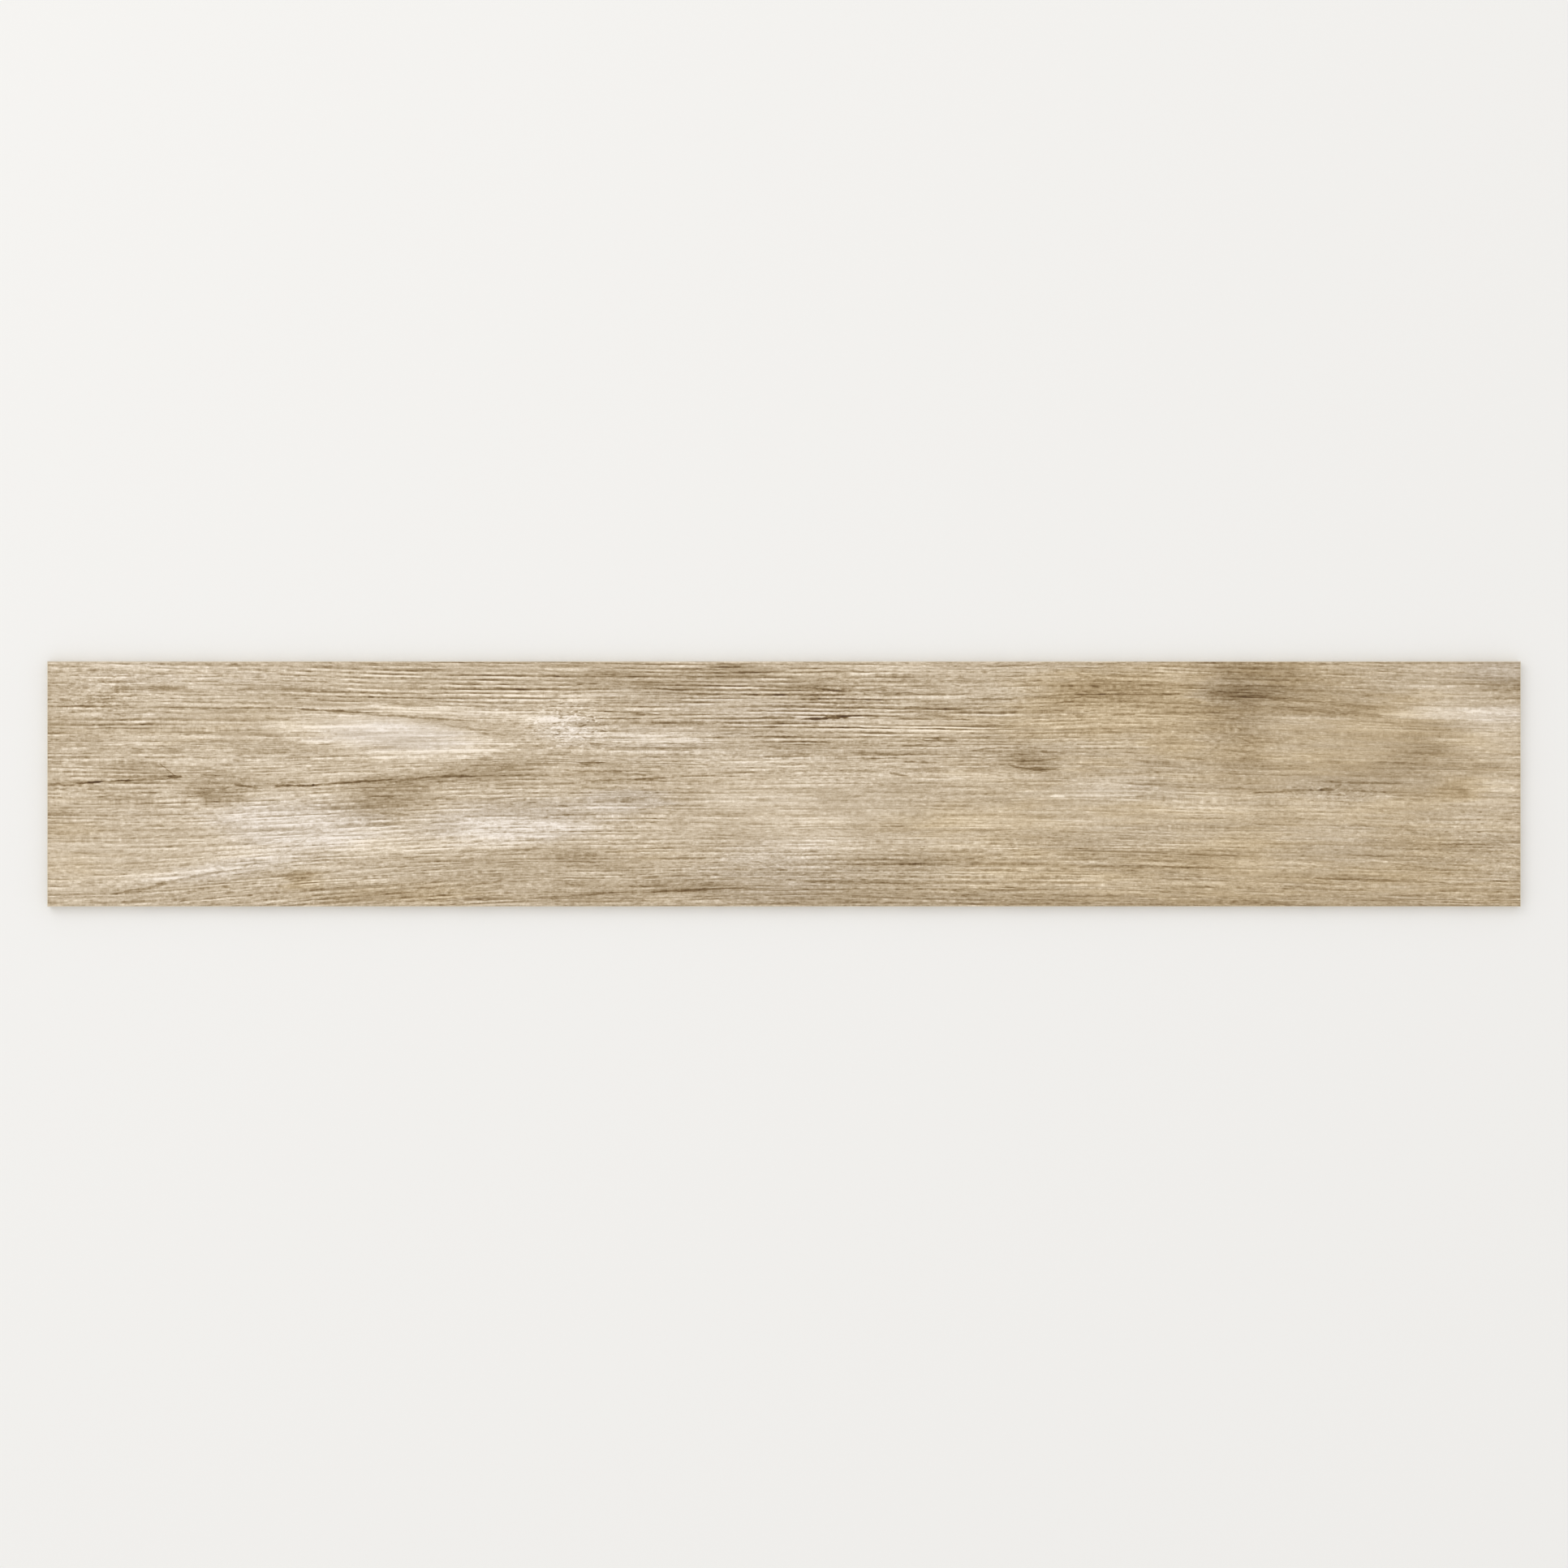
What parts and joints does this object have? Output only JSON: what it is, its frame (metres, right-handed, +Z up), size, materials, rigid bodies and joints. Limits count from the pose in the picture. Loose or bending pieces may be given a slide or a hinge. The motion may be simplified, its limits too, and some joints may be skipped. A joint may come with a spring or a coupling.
{
  "type": "wood-look porcelain plank tile",
  "caption": "Long thin rectified porcelain floor plank with a matte printed wood-grain face, square ground edges and a keyed back for the adhesive bed.",
  "frame": {"origin": "centre of the plank's back, in the plane that it rests on", "axes": "+X along the plank and its grain, +Y across it, +Z up from the keyed back to the printed face"},
  "size_m": [1.2, 0.2, 0.009],
  "materials": {
    "porcelain": "matte"
  },
  "bodies": {
    "root": {"plank_tile": "porcelain"}
  },
  "joints": []
}
